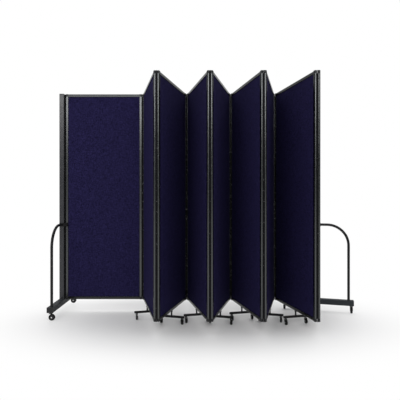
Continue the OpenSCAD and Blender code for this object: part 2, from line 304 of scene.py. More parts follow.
def material(name, color, roughness, metallic=0.0, mottle=0.05, marks=0.12, dust=0.05):
    """A Principled material with the shared surface life. Returns it, its tree and its shader."""
    mat = bpy.data.materials.new(name)
    mat.use_nodes = True
    tree = mat.node_tree
    shader = tree.nodes["Principled BSDF"]
    shader.inputs["Metallic"].default_value = metallic
    life = tree.nodes.new("ShaderNodeGroup")
    life.node_tree = surface_life
    for label, value in (("Color", (*color, 1)), ("Roughness", roughness), ("Mottle", mottle),
                         ("Marks", marks), ("Dust", dust)):
        life.inputs[label].default_value = value
    tree.links.new(life.outputs["Color"], shader.inputs["Base Color"])
    tree.links.new(life.outputs["Roughness"], shader.inputs["Roughness"])
    mat.diffuse_color = (*color, 1)
    return mat, tree, shader


def bump(tree, shader, height, strength, distance):
    node = tree.nodes.new("ShaderNodeBump")
    node.inputs["Strength"].default_value = strength
    node.inputs["Distance"].default_value = distance
    tree.links.new(height, node.inputs["Height"])
    tree.links.new(node.outputs["Normal"], shader.inputs["Normal"])


def own_coordinates(tree):
    node = tree.nodes.new("ShaderNodeAttribute")
    node.attribute_name = "own"
    return node.outputs["Vector"]


def drawn_aluminium(name, color, stretch, grazing):
    """Anodised metal with streaks along the draw. It mirrors by so much where seen edge on."""
    mat, tree, shader = material(name, color, roughness=0.24, metallic=1.0, mottle=0.02, marks=0.07)
    shader.inputs["Specular Tint"].default_value = (grazing, grazing, grazing, 1)
    streaks = noise(tree, own_coordinates(tree), scale=900, detail=2, stretch=stretch)
    bump(tree, shader, streaks, strength=0.04, distance=0.00005)
    return mat


upright_metal = drawn_aluminium("anodised_upright", (0.079, 0.082, 0.083),
                                stretch=(1, 1, 0.004), grazing=0.35)
# painted shade: the rails take a darker copy of the uprights' anodised metal, so that their tops mirror
# less light
rail_metal_painted_darker = drawn_aluminium("anodised_rail_painted_darker", (0.034, 0.0353, 0.0360),
                             stretch=(0.004, 1, 1), grazing=0.85)


def upright():
    """The left-hand upright, between its corner caps, with its round nose outwards."""
    bar = box((0, -thickness / 2, panel_bottom + cap_height),
              (face_width, thickness / 2, panel_top - cap_height),
              along("z", x=0), nose_radius, nose_steps)
    soften(bar, along("z", x=face_width), inner_corner, steps=2)
    soften(bar, across("z"), sawn_edge, steps=1)
    return bar


def rail(outer, inwards):
    """The rail whose nose is at the height outer. The board is above it or, for -1, below."""
    inner = outer + inwards * face_width
    bar = box((face_width + butt_line, -thickness / 2, min(outer, inner)),
              (panel_width - face_width - butt_line, thickness / 2, max(outer, inner)),
              along("x", z=outer), nose_radius, nose_steps)
    soften(bar, along("x", z=inner), inner_corner, steps=2)
    soften(bar, across("x"), sawn_edge, steps=1)
    return bar


for i in range(1, panel_count + 1):
    sides = [(upright(), upright_metal), (moved(upright(), to_right_end), upright_metal),
             (rail(panel_top, -1), rail_metal_painted_darker), (rail(panel_bottom, 1), rail_metal_painted_darker)]
    profile = piece(f"panel_{i}_profile", sides, places[i], upright_metal, panel_body(i))
    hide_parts(f"panel_{i}_frame")

# ---------------------------------------------------------------------------
# Corner caps. Black moulded nylon caps close the four ends of the two uprights.
# They follow the frame's round outside and have a softly rounded end.
cap_end_round = 0.0014
cap_seam_round = 0.0003


def moulded_black(name, color, rough, grain, gloss):
    """Moulded nylon or rubber, with a fine grain."""
    mat, tree, shader = material(name, color, rough, marks=0.1)
    shader.inputs["Specular IOR Level"].default_value = gloss
    bump(tree, shader, noise(tree, own_coordinates(tree), scale=2600, detail=2),
         strength=grain, distance=0.0001)
    return mat


black_nylon = moulded_black("black_nylon", (0.0085, 0.0090, 0.0098), rough=0.38, grain=0.08, gloss=0.32)


def corner_cap(outer, inwards):
    """The left-hand cap whose free end is at the height outer."""
    inner = outer + inwards * cap_height
    cap = box((0, -thickness / 2, min(outer, inner)), (face_width, thickness / 2, max(outer, inner)),
              along("z", x=0), nose_radius, nose_steps)
    soften(cap, across("z", z=outer), cap_end_round, steps=3)
    soften(cap, across("z", z=inner), cap_seam_round, steps=1)
    return cap


for i in range(1, panel_count + 1):
    caps = []
    for outer, inwards in ((panel_top, -1), (panel_bottom, 1)):
        caps += [corner_cap(outer, inwards), moved(corner_cap(outer, inwards), to_right_end)]
    piece(f"panel_{i}_corner_caps", caps, places[i], black_nylon, panel_body(i))

# ---------------------------------------------------------------------------
# Boards. A hard core is wrapped in dark blue woven cloth, which turns over its edges
# into the frame's groove. The cloth is a plain weave of heathered yarn.
board_thickness = 0.011
reveal = 0.0015
wrapped_round = 0.0024
hem_thickness = 0.005
hem_in_groove = 0.0005
hem_round = 0.0004
cloth_crease = 50
yarn_pitch = 0.0015


def weave_group():
    """Plain weave. Height and Shade come from a vector in metres; Pitch is the yarn's spacing. Shade holds
    the yarns' heathered tone and painted shade, darker where the weave lies low and lighter on its crests.
    """
    yarn_scale, yarn_detail, yarn_stretch = 420, 2, 0.12
    mean_height, hollow_shade_gain, tone_gain = 0.6, 0.35, 5.0
    tree, start, end = group(
        "plain_weave",
        [("Vector", "NodeSocketVector", None), ("Pitch", "NodeSocketFloat", 0.0016),
         ("Heather", "NodeSocketFloat", 0.3)],
        [("Height", "NodeSocketFloat"), ("Shade", "NodeSocketFloat")])
    split = tree.nodes.new("ShaderNodeSeparateXYZ")
    tree.links.new(start.outputs["Vector"], split.inputs[0])
    turns = calc(tree, "DIVIDE", math.pi, start.outputs["Pitch"])
    warp = calc(tree, "SINE", calc(tree, "MULTIPLY", split.outputs["X"], turns))
    weft = calc(tree, "SINE", calc(tree, "MULTIPLY", split.outputs["Z"], turns))

    over = calc(tree, "GREATER_THAN", calc(tree, "MULTIPLY", warp, weft), 0.0)
    under = calc(tree, "SUBTRACT", 1.0, over)
    warp_up = calc(tree, "MULTIPLY", calc(tree, "ABSOLUTE", warp), over)
    weft_up = calc(tree, "MULTIPLY", calc(tree, "ABSOLUTE", weft), under)
    height = calc(tree, "ADD", warp_up, weft_up)
    tree.links.new(height, end.inputs["Height"])

    upright_yarn = noise(tree, start.outputs["Vector"], yarn_scale, yarn_detail,
                         (yarn_stretch, yarn_stretch, 1))
    level_yarn = noise(tree, start.outputs["Vector"], yarn_scale, yarn_detail,
                       (1, yarn_stretch, yarn_stretch))
    tone = calc(tree, "SUBTRACT", calc(tree, "ADD", upright_yarn, level_yarn), 1.0)
    tone = calc(tree, "MULTIPLY", tone, start.outputs["Heather"])
    # painted shade and light: the colour is darker where the weave lies low and lighter on its crests
    depth = calc(tree, "MULTIPLY", calc(tree, "SUBTRACT", height, mean_height), hollow_shade_gain)
    heather_and_hollow_shade = calc(tree, "ADD", calc(tree, "MULTIPLY", tone, tone_gain), depth)
    tree.links.new(calc(tree, "ADD", 1.0, heather_and_hollow_shade), end.inputs["Shade"])
    return tree


plain_weave = weave_group()


def woven_cloth():
    """Matt wool-like cloth with a slight sheen. The weave runs along and up the panel."""
    mat, tree, shader = material("navy_cloth", (0.0148, 0.0124, 0.0466), roughness=0.94,
                                 mottle=0.02, marks=0.0, dust=0.0)
    weave = tree.nodes.new("ShaderNodeGroup")
    weave.node_tree = plain_weave
    weave.inputs["Pitch"].default_value = yarn_pitch
    weave.inputs["Heather"].default_value = 0.42
    tree.links.new(own_coordinates(tree), weave.inputs["Vector"])
    # the yarns' tone and the weave's painted shade scale the cloth's colour
    plain_color = shader.inputs["Base Color"].links[0].from_socket
    tree.links.new(shaded(tree, plain_color, weave.outputs["Shade"]), shader.inputs["Base Color"])
    shader.inputs["Sheen Weight"].default_value = 0.012
    shader.inputs["Sheen Roughness"].default_value = 0.4
    shader.inputs["Sheen Tint"].default_value = (0.35, 0.33, 0.75, 1)
    shader.inputs["Specular IOR Level"].default_value = 0.025
    bump(tree, shader, weave.outputs["Height"], strength=0.55, distance=0.0004)
    return mat


navy_cloth = woven_cloth()


def slab(inset, depth, by, steps):
    """A slab of that depth, with its rim that far inside the panel's outline."""
    return box((inset, -depth / 2, panel_bottom + inset),
               (panel_width - inset, depth / 2, panel_top - inset), every_edge, by, steps)


for i in range(1, panel_count + 1):
    pad = slab(face_width + reveal, board_thickness, wrapped_round, steps=4)
    hem = slab(face_width - hem_in_groove, hem_thickness, hem_round, steps=1)
    board = piece(f"panel_{i}_cloth_board", [pad, hem], places[i], navy_cloth, panel_body(i),
                  cloth_crease)
    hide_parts(f"panel_{i}_board")

# ---------------------------------------------------------------------------
# Hinges. A continuous hinge runs up each fold between the corner caps: two dark steel
# leaves pressed into the round noses, knuckles rolled by turns from either leaf, and a
# long pin with a black nylon cap on each end, in line with the corner caps.
knuckle_radius = 0.0032
pin_radius = 0.0015
pin_reach = 0.004
pin_cap_radius = knuckle_radius - 0.0002
pin_cap_inset = 0.001
pin_cap_round = 0.0007
leaf_thickness = 0.0016
leaf_start = knuckle_radius + 0.0005
leaf_in_nose = 0.003
leaf_round = 0.0003
strap_start, strap_end = knuckle_radius * 0.6, knuckle_radius + 0.0007
strap_round = 0.0002
knuckle_count = 23
knuckle_gap = 0.0006
knuckle_round = 0.0004
hinge_clearance = 0.001
pin_to_nose = hinge_gap / 2 + thickness / 2
hinge_low = panel_bottom + cap_height + hinge_clearance
hinge_high = panel_top - cap_height - hinge_clearance


def rod(radius, low, high, sides, by=0.0, steps=2):
    """A round bar along Z with its end edges rounded by that much."""
    bm = bmesh.new()
    bmesh.ops.create_cone(bm, cap_ends=True, segments=sides, radius1=radius, radius2=radius,
                          depth=high - low)
    bmesh.ops.translate(bm, vec=(0, 0, (low + high) / 2), verts=bm.verts)
    if by:
        ends = [e for e in bm.edges if abs(e.verts[0].co.z - e.verts[1].co.z) < 1e-7]
        bmesh.ops.bevel(bm, geom=ends, offset=by, segments=steps, profile=0.5, affect="EDGES",
                        material=-1)
    return bm


def satin_steel(name, color, rough):
    """Plated or blackened steel, with a fine unevenness."""
    mat, tree, shader = material(name, color, rough, metallic=0.85)
    bump(tree, shader, noise(tree, own_coordinates(tree), scale=1400, detail=3),
         strength=0.12, distance=0.0001)
    return mat


hinge_steel = satin_steel("blackened_steel", (0.009, 0.009, 0.010), rough=0.42)
bright_steel = satin_steel("zinc_plated_steel", (0.80, 0.80, 0.81), rough=0.30)


def strip(start, reach, low, high, by):
    """A piece of the leaf's sheet, from start to reach out along X from the pin."""
    return box((start, -leaf_thickness / 2, low), (reach, leaf_thickness / 2, high), along("z"),
               by, steps=1)


def hinge_half(to_nose, first):
    """A leaf, every second knuckle from the first on, and the straps that join them, around a pin
    at the origin. The middle of the nose that holds the leaf lies at to_nose."""
    turn = Matrix.Rotation(math.atan2(to_nose.y, to_nose.x), 4, "Z")
    reach = to_nose.length - thickness / 2 + leaf_in_nose
    half = [moved(strip(leaf_start, reach, hinge_low, hinge_high, leaf_round), turn)]
    pitch = (hinge_high - hinge_low) / knuckle_count
    for k in range(first, knuckle_count, 2):
        low = hinge_low + k * pitch + knuckle_gap / 2
        high = low + pitch - knuckle_gap
        half.append(rod(knuckle_radius, low, high, sides=20, by=knuckle_round, steps=1))
        half.append(moved(strip(strap_start, strap_end, low, high, strap_round), turn))
    return half


def pin_and_caps():
    """The pin, which reaches into a cap above and one below."""
    caps = [rod(pin_cap_radius, low, high, sides=24, by=pin_cap_round, steps=3) for low, high in
            ((panel_bottom + pin_cap_inset, hinge_low - butt_line),
             (hinge_high + butt_line, panel_top - pin_cap_inset))]
    pin = rod(pin_radius, hinge_low - pin_reach, hinge_high + pin_reach, sides=16)
    return [(pin, bright_steel)] + [(cap, black_nylon) for cap in caps]


for i in range(1, panel_count):
    pin_y = pin_side(i) * hinge_offset
    left_half = hinge_half(Vector((-pin_to_nose, -pin_y, 0)), 0) + pin_and_caps()
    right_half = hinge_half(Vector((pin_to_nose, -pin_y, 0)), 1)
    at_left_panel = places[i] @ Matrix.Translation((panel_width + hinge_gap / 2, pin_y, 0))
    at_right_panel = places[i + 1] @ Matrix.Translation((-hinge_gap / 2, pin_y, 0))
    piece(f"fold_{i}_hinge_left", left_half, at_left_panel, hinge_steel, panel_body(i))
    piece(f"fold_{i}_hinge_right", right_half, at_right_panel, hinge_steel, panel_body(i + 1))

# ---------------------------------------------------------------------------
# Feet. Under each middle panel a flat black steel bar with round ends stands across it
# on two casters, welded to a short stem that goes up through a collar into the rail.
bar_low, bar_high = 0.0415, 0.0550
bar_length, bar_width = 0.172, 0.012
bar_end_round = bar_width / 2 - round_margin
bar_top_round, bar_bottom_round = 0.0012, 0.0008
stem_radius = 0.005
stem_in_bar, stem_in_rail = 0.001, 0.004
stem_weld = 0.0028
collar_radius, collar_height, collar_round = 0.0078, 0.0040, 0.0008
sunk = 0.0002
round_sides = 28


def painted(name, color, rough, peel, dust, gloss):
    """Powder coat on steel, with its orange peel."""
    mat, tree, shader = material(name, color, rough, dust=dust)
    shader.inputs["Specular IOR Level"].default_value = gloss
    bump(tree, shader, noise(tree, own_coordinates(tree), scale=620, detail=3),
         strength=peel, distance=0.0002)
    return mat


black_paint = painted("black_powder_coat", (0.0035, 0.0035, 0.0040),
                      rough=0.50, peel=0.10, dust=0.06, gloss=0.18)


def column(width, depth, low, high, corner, steps):
    """A box around the Z axis, with its upright edges rounded."""
    return box((-width / 2, -depth / 2, low), (width / 2, depth / 2, high), along("z"), corner, steps)


def bead(radius, leg, z):
    """A weld's hollow fillet around a round bar that stands on z."""
    hollow = 0.35
    bm = bmesh.new()
    bmesh.ops.create_cone(bm, cap_ends=False, segments=round_sides, radius1=radius + leg,
                          radius2=radius, depth=leg)
    bmesh.ops.translate(bm, vec=(0, 0, z + leg / 2), verts=bm.verts)
    sloping = [e for e in bm.edges if abs(e.verts[0].co.z - e.verts[1].co.z) > 1e-6]
    bmesh.ops.subdivide_edges(bm, edges=sloping, cuts=2)
    for v in bm.verts:
        up = (v.co.z - z) / leg
        pull = 1 - hollow * math.sin(math.pi * up) * leg / (radius + leg)
        v.co.x *= pull
        v.co.y *= pull
    return bm


def foot():
    """The bar, the stem with its weld, and the collar under the rail."""
    bar = column(bar_width, bar_length, bar_low, bar_high, bar_end_round, steps=8)
    soften(bar, across("z", z=bar_high), bar_top_round, steps=3)
    soften(bar, across("z", z=bar_low), bar_bottom_round, steps=2)
    stem = rod(stem_radius, bar_high - stem_in_bar, panel_bottom + stem_in_rail, sides=round_sides)
    weld = bead(stem_radius, stem_weld, bar_high - sunk)
    collar_top = panel_bottom - sunk
    collar = rod(collar_radius, collar_top - collar_height, collar_top, sides=round_sides,
                 by=collar_round)
    return [bar, stem, weld, (collar, black_nylon)]


for i in range(2, panel_count):
    front = Vector(joints[f"foot_{i}_front_turn"]["pos_m"])
    back = Vector(joints[f"foot_{i}_back_turn"]["pos_m"])
    centre = (front + back) / 2
    centre.z = 0
    under_panel = Matrix.Translation(centre) @ places[i].to_3x3().to_4x4()
    piece(f"panel_{i}_foot", foot(), under_panel, black_paint, panel_body(i))

# ---------------------------------------------------------------------------
# End posts. A rectangular steel tube closes each end of the row, powder-coated dark grey,
# with a plastic cap on top and a rib towards the panel that hides the gap.
post_width, post_depth = 0.033, 0.038
post_corner = 0.003
lid_height, lid_round = 0.003, 0.0012
end_gap = 0.006
rib_thickness = 0.007
rib_overlap, rib_clearance = 0.0005, 0.0003
rib_round = 0.0015
beam_top = 0.0883
post_weld_out, post_weld_up, post_weld_corner = 0.0016, 0.0022, 0.0042
post_grey = painted("grey_powder_coat", (0.0190, 0.0195, 0.0230),
                    rough=0.27, peel=0.06, dust=0.04, gloss=0.5)
dull_strip = moulded_black("black_strip", (0.0045, 0.0047, 0.0050), rough=0.50, grain=0.12, gloss=0.18)
end_body = {"left": "start", "right": "finish"}


def end_place(side):
    """Under an end post, X towards the panels."""
    to_post = end_gap + post_width / 2
    if side == "left":
        return places[1] @ Matrix.Translation((-to_post, 0, 0))
    facing_left = Matrix.Rotation(math.pi, 4, "Z")
    return places[panel_count] @ Matrix.Translation((panel_width + to_post, 0, 0)) @ facing_left


def post():
    """The tube, its cap, the weld around its foot, and the rib."""
    tube_top = panel_top - lid_height
    tube = column(post_width, post_depth, beam_top, tube_top, post_corner, steps=5)
    lid = column(post_width, post_depth, tube_top, panel_top, post_corner, steps=5)
    soften(lid, across("z", z=panel_top), lid_round, steps=3)
    weld_top = beam_top + post_weld_up
    weld = column(post_width + 2 * post_weld_out, post_depth + 2 * post_weld_out,
                  beam_top - sunk, weld_top, post_weld_corner, steps=4)
    soften(weld, across("z", z=weld_top), post_weld_out, steps=3)
    rib_end = post_width / 2 + end_gap - rib_clearance
    rib = box((post_width / 2 - rib_overlap, -rib_thickness / 2, beam_top),
              (rib_end, rib_thickness / 2, tube_top), along("z", x=rib_end), rib_round, steps=3)
    return [tube, (lid, black_nylon), weld, (rib, dull_strip)]


for side in end_body:
    tube = piece(f"{side}_post_tube", post(), end_place(side), post_grey, end_body[side])
    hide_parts(f"{side}_end_post")

# ---------------------------------------------------------------------------
# End beams. The post stands on a rectangular tube that lies across the row,
# powder-coated grey, with a black plastic plug pressed into each end.
beam_low = 0.0523
beam_half, beam_width = 0.246, 0.042
beam_corner = 0.003
plug_head = 0.004
plug_lip_out, plug_lip_up = 0.00075, 0.00025
plug_round = 0.0014
beam_grey = painted("grey_beam_coat", (0.032, 0.0360, 0.0400),
                    rough=0.50, peel=0.12, dust=0.06, gloss=0.06)


def beam_plug(end):
    """The plug's head on the end at Y = end."""
    seam = end - math.copysign(plug_head, end)
    across_half = beam_width / 2 + plug_lip_out
    head = box((-across_half, min(seam, end), beam_low - plug_lip_up),
               (across_half, max(seam, end), beam_top + plug_lip_up), along("y"), beam_corner, steps=5)
    soften(head, across("y", y=end), plug_round, steps=3)
    return head


for side in end_body:
    tube_end = beam_half - plug_head
    tube = box((-beam_width / 2, -tube_end, beam_low), (beam_width / 2, tube_end, beam_top),
               along("y"), beam_corner, steps=5)
    parts = [tube, (beam_plug(-beam_half), black_nylon), (beam_plug(beam_half), black_nylon)]
    beam = piece(f"{side}_cross_beam", parts, end_place(side), beam_grey, end_body[side])
    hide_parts(f"{side}_end_beam")

# ---------------------------------------------------------------------------
# End arches. Two round steel tubes rise from the beam near its ends, bend over in a
# quarter circle and run level to the post. Each ends in a flat black bracket, which is
# screwed to the post and, over a spacer, to the panel's frame.
tube_radius = 0.009
leg_y, run_z, bend = 0.212, 0.618, 0.145
bend_steps = 28
leg_weld, run_weld = 0.003, 0.0026
bracket_height, bracket_thickness = 0.024, 0.003
bracket_corner, bracket_round = 0.0035, 0.0006
bracket_short = 0.001
bracket_face = post_depth / 2 + bracket_thickness
frame_screw_x = post_width / 2 + end_gap + face_width / 2
spacer_half_width, spacer_half_height, spacer_round = 0.006, 0.009, 0.001
spacer_off_frame, spacer_in_bracket = 0.0003, 0.0005
screw_radius, screw_height = 0.0032, 0.0022
dome_share, socket_wall_share, socket_depth_share = 0.45, 0.32, 0.5
post_screw_x, post_screw_z = -0.0125, 0.0075
tube_black = painted("black_tube_coat", (0.0032, 0.0034, 0.0037),
                     rough=0.36, peel=0.06, dust=0.05, gloss=0.30)


def pulled(bm, ring, vec):
    """Draws the ring of edges out along vec and returns the new ring."""
    made = bmesh.ops.extrude_edge_only(bm, edges=ring)["geom"]
    verts = [g for g in made if isinstance(g, bmesh.types.BMVert)]
    bmesh.ops.translate(bm, vec=vec, verts=verts)
    return [g for g in made if isinstance(g, bmesh.types.BMEdge) and all(v in verts for v in g.verts)]


def bent_tube():
    """Drawn in one line: up the leg, round the bend, and along the level run to the bracket."""
    bm = bmesh.new()
    bmesh.ops.create_circle(bm, cap_ends=False, segments=round_sides, radius=tube_radius)
    bmesh.ops.translate(bm, vec=(0, leg_y, beam_top), verts=bm.verts)
    ring = pulled(bm, list(bm.edges), (0, 0, run_z - bend - beam_top))
    spun = bmesh.ops.spin(bm, geom=ring, cent=(0, leg_y - bend, run_z - bend), axis=(1, 0, 0),
                          angle=math.pi / 2, steps=bend_steps, use_duplicate=False)["geom_last"]
    ring = [g for g in spun if isinstance(g, bmesh.types.BMEdge)]
    pulled(bm, ring, (0, -(leg_y - bend - bracket_face), 0))
    bmesh.ops.remove_doubles(bm, verts=bm.verts, dist=1e-6)
    bmesh.ops.recalc_face_normals(bm, faces=bm.faces)
    return bm


def socket_screw(radius, height):
    """A button head with a socket in its top, its face up at z = height."""
    head = rod(radius, 0, height, sides=24, by=height * dome_share, steps=4)
    top = max(head.faces, key=lambda f: f.calc_center_median().z)
    bmesh.ops.inset_region(head, faces=[top], thickness=radius * socket_wall_share)
    bmesh.ops.translate(head, vec=(0, 0, -height * socket_depth_share), verts=top.verts)
    return head


def bracket():
    """The flat plate, and the spacer that fills the step between the post's face and the frame's."""
    plate = box((-post_width / 2, post_depth / 2, run_z - bracket_height / 2),
                (post_width / 2 + end_gap + face_width - bracket_short, bracket_face,
                 run_z + bracket_height / 2), along("y"), bracket_corner, steps=4)
    soften(plate, across("y", y=bracket_face), bracket_round, steps=2)
    spacer = box((frame_screw_x - spacer_half_width, thickness / 2 + spacer_off_frame,
                  run_z - spacer_half_height),
                 (frame_screw_x + spacer_half_width, post_depth / 2 + spacer_in_bracket,
                  run_z + spacer_half_height), every_edge, spacer_round, steps=2)
    return plate, spacer


def arch_half():
    """One tube with its welds, its bracket and three screws, on the side where Y is positive."""
    leg_bead = moved(bead(tube_radius, leg_weld, beam_top - sunk), Matrix.Translation((0, leg_y, 0)))
    out_of_bracket = Matrix.Translation((0, bracket_face, run_z)) @ Matrix.Rotation(-math.pi / 2, 4, "X")
    run_bead = moved(bead(tube_radius, run_weld, 0), out_of_bracket)
    parts = [(bm, tube_black) for bm in (bent_tube(), leg_bead, run_bead)]
    parts += [(bm, black_paint) for bm in bracket()]
    for x, z in ((post_screw_x, post_screw_z), (post_screw_x, -post_screw_z), (frame_screw_x, 0)):
        place = Matrix.Translation((x, 0, z)) @ out_of_bracket
        parts.append((moved(socket_screw(screw_radius, screw_height), place), hinge_steel))
    return parts


for side in end_body:
    to_other_side = Matrix.Diagonal((1, -1, 1, 1))
    parts = arch_half() + [(moved(bm, to_other_side), finish) for bm, finish in arch_half()]
    arch = piece(f"{side}_bent_tubes", parts, end_place(side), tube_black, end_body[side])
    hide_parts(f"{side}_end_arch")

# ---------------------------------------------------------------------------
# Casters. A pressed steel fork turns on a stem that goes up into the bar or beam,
# with a ball race between two washers, and a bolt through it carries the wheel.
caster_kinds = {
    "end": {"radius": 0.021, "width": 0.014, "axle": 0.003, "height": 0.052, "head": 0.022,
            "stem": 0.004},
    "foot": {"radius": 0.015, "width": 0.012, "axle": 0.0022, "height": 0.0412, "head": 0.015,
             "stem": 0.003},
}
cheek_thickness, cheek_clearance = 0.0016, 0.0006
cheek_round = 0.0004
bridge_thickness, bridge_corner, bridge_round = 0.002, 0.0015, 0.0008
over_wheel = 0.0015
eye_wall = 0.0025
washer_share, ball_share = 0.98, 0.86
lower_washer_to, balls_from, balls_to, upper_washer_from = 0.45, 0.40, 0.62, 0.57
washer_round = 0.0006
slack = 0.0001
stem_down, stem_up = 0.001, 0.006
bolt_head_out, bolt_head_height, bolt_head_round = 0.0014, 0.0010, 0.0005
nut_round = 0.0003
bore_clearance = 0.00005
boss_wall = 0.0022
rim_share, tread_seat = 0.58, 0.66
shoulder_share = 0.42
black_steel = painted("black_fork_steel", (0.0040, 0.0040, 0.0045),
                      rough=0.45, peel=0.08, dust=0.06, gloss=0.20)
tread_rubber = moulded_black("black_tread", (0.0045, 0.0045, 0.0045), rough=0.62, grain=0.2, gloss=0.18)
hub_grey = moulded_black("grey_hub", (0.012, 0.0124, 0.0130), rough=0.42, grain=0.1, gloss=0.3)


def lathe(outline, steps=48):
    """Turns a closed outline of (radius, y) points about the Y axis."""
    bm = bmesh.new()
    verts = [bm.verts.new((r, y, 0)) for r, y in outline]
    edges = [bm.edges.new((verts[k - 1], verts[k])) for k in range(len(verts))]
    bmesh.ops.spin(bm, geom=verts + edges, cent=(0, 0, 0), axis=(0, 1, 0), angle=2 * math.pi,
                   steps=steps, use_merge=True)
    bmesh.ops.remove_doubles(bm, verts=bm.verts, dist=1e-7)
    bmesh.ops.recalc_face_normals(bm, faces=bm.faces)
    return bm


def tread(kind):
    """The tread: flat over its width, rounded at both sides, seated on the hub."""
    radius, half, seat = kind["radius"], kind["width"] / 2, kind["radius"] * tread_seat
    shoulder = half * shoulder_share
    arc = [(radius - shoulder + shoulder * math.cos(a), half - shoulder + shoulder * math.sin(a))
           for a in (math.radians(degrees) for degrees in range(0, 91, 15))]
    return lathe([(seat, -half)] + [(r, -y) for r, y in reversed(arc)] + arc + [(seat, half)])


def hub(kind):
    """The hub: a boss around the axle, a dished web, and a rim that holds the tread."""
    half, bore = kind["width"] / 2, kind["axle"] + bore_clearance
    boss, rim = kind["axle"] + boss_wall, kind["radius"] * rim_share
    side = [(bore, half - slack), (boss, half - slack),
            (boss + 0.0004, half - 0.0006), (boss + 0.0009, half - 0.0016),
            (rim - 0.0009, half - 0.0018), (rim - 0.0003, half - 0.0012),
            (rim, half - 0.0004), (kind["radius"] * tread_seat, half - 0.0003)]
    return lathe(side + [(r, -y) for r, y in reversed(side)])


def fork_half_width(kind):
    """From the middle of the wheel to the outer face of a cheek."""
    return kind["width"] / 2 + cheek_clearance + cheek_thickness


def cheek(kind, trail, top, face):
    """One side of the fork, broad above and with an eye at the axle. Its outline is the hull of
    both. It is drawn lying flat, made as thick as the sheet and set upright below Y = face."""
    half = kind["head"] / 2
    plate = bmesh.new()
    bmesh.ops.create_circle(plate, cap_ends=False, segments=32, radius=kind["axle"] + eye_wall)
    bmesh.ops.translate(plate, vec=(trail, kind["radius"], 0), verts=plate.verts)
    for x, y in ((-half, top - bridge_thickness), (-half, top + bridge_thickness),
                 (half, top + bridge_thickness), (half, top - bridge_thickness)):
        plate.verts.new((x, y, 0))
    bmesh.ops.convex_hull(plate, input=list(plate.verts))
    bmesh.ops.dissolve_limit(plate, angle_limit=0.01, verts=plate.verts, edges=plate.edges)
    bmesh.ops.remove_doubles(plate, verts=plate.verts, dist=1e-7)
    facing_down = [f for f in plate.faces if f.normal.z <= 0.5]
    bmesh.ops.delete(plate, geom=facing_down, context="FACES_ONLY")
    made = bmesh.ops.extrude_face_region(plate, geom=list(plate.faces))["geom"]
    raised = [g for g in made if isinstance(g, bmesh.types.BMVert)]
    bmesh.ops.translate(plate, vec=(0, 0, cheek_thickness), verts=raised)
    bmesh.ops.recalc_face_normals(plate, faces=plate.faces)
    rims = [e for e in plate.edges if len(e.link_faces) == 2 and e.calc_face_angle(0) > 1.2
            and abs(e.verts[0].co.z - e.verts[1].co.z) < 1e-7]
    bmesh.ops.bevel(plate, geom=rims, offset=cheek_round, segments=2, profile=0.5, affect="EDGES",
                    material=-1)
    return moved(plate, Matrix.Translation((0, face, 0)) @ Matrix.Rotation(math.pi / 2, 4, "X"))


def fork(kind, trail):
    """Both cheeks, the bridge over the wheel, the race and the stem, in the caster's own place."""
    half, out = kind["head"] / 2, fork_half_width(kind)
    top = 2 * kind["radius"] + over_wheel
    deck = top + bridge_thickness
    bridge = column(2 * half, 2 * out, top, deck, bridge_corner, steps=3)
    soften(bridge, across("z", z=deck), bridge_round, steps=2)
    race = kind["height"] - deck
    washer_radius = half * washer_share
    lower_washer = rod(washer_radius, deck - sunk, deck + race * lower_washer_to, sides=40, by=washer_round)
    balls = rod(half * ball_share, deck + race * balls_from, deck + race * balls_to, sides=40)
    upper_washer = rod(washer_radius, deck + race * upper_washer_from, kind["height"] - slack,
                       sides=40, by=washer_round)
    stem = rod(kind["stem"], kind["height"] - stem_down, kind["height"] + stem_up, sides=24)
    return [cheek(kind, trail, top, cheek_thickness - out), cheek(kind, trail, top, out), bridge,
            lower_washer, (balls, bright_steel), upper_washer, (stem, bright_steel)]


def axle(kind, trail):
    """The bolt through the hub, with a domed head on one side and a hexagon nut on the other."""
    seat = fork_half_width(kind) + slack
    end = seat + bolt_head_height
    radius = kind["axle"] + bolt_head_out
    bolt = rod(kind["axle"], -seat, seat, sides=24)
    head = rod(radius, seat, end, sides=24, by=bolt_head_round, steps=3)
    nut = rod(radius, -end, -seat, sides=6, by=nut_round, steps=2)
    lay = Matrix.Translation((trail, 0, kind["radius"])) @ Matrix.Rotation(math.pi / 2, 4, "X")
    return [(moved(bm, lay), bright_steel) for bm in (bolt, head, nut)]


caster_names = [f"{side}_{end}" for side in end_body for end in ("front", "back")]
caster_names += [f"foot_{i}_{end}" for i in range(2, panel_count) for end in ("front", "back")]
for name in caster_names:
    kind = caster_kinds["foot" if name.startswith("foot") else "end"]
    stem = Vector(joints[name + "_turn"]["pos_m"])
    centre = Vector(joints[name + "_spin"]["pos_m"])
    trailing = Vector((centre.x - stem.x, centre.y - stem.y, 0))
    trail = trailing.length
    trailing.normalize()
    across_wheel = Vector((-trailing.y, trailing.x, 0))
    under_stem = (Matrix.Translation((stem.x, stem.y, 0))
                  @ Matrix((trailing, across_wheel, (0, 0, 1))).transposed().to_4x4())
    yoke = piece(name + "_yoke", fork(kind, trail) + axle(kind, trail), under_stem, black_steel,
                 name + "_swivel")
    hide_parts(name + "_fork")
    at_axle = under_stem @ Matrix.Translation((trail, 0, kind["radius"]))
    roller = piece(name + "_tread", [tread(kind), (hub(kind), hub_grey)], at_axle, tread_rubber,
                   name + "_roller")
    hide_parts(name + "_wheel")

# ---------------------------------------------------------------------------
# The setting: a pale floor that runs out to white, soft light from the front and above,
# and the camera level with the middle of the panels.
floor_size = 30
floor_color = (0.885, 0.870, 0.860, 1)
shown_centre = (0.0, -0.05)
shown_length, shown_depth = 1.7, 0.95
room_color = (0.96, 0.98, 1.0, 1)
room_level, more_to_right, more_overhead = 0.40, 0.10, 1.2
front_dimming, side_dimming = 0.2, 0.75
view_from = (-0.039, -2.7537, 0.7938)


def seen_and_mirrored(tree):
    """Masks for rays that come straight from the camera and for those that a surface mirrors."""
    path = tree.nodes.new("ShaderNodeLightPath")
    mirrored = calc(tree, "MAXIMUM", path.outputs["Is Glossy Ray"], path.outputs["Is Transmission Ray"])
    return path.outputs["Is Camera Ray"], mirrored


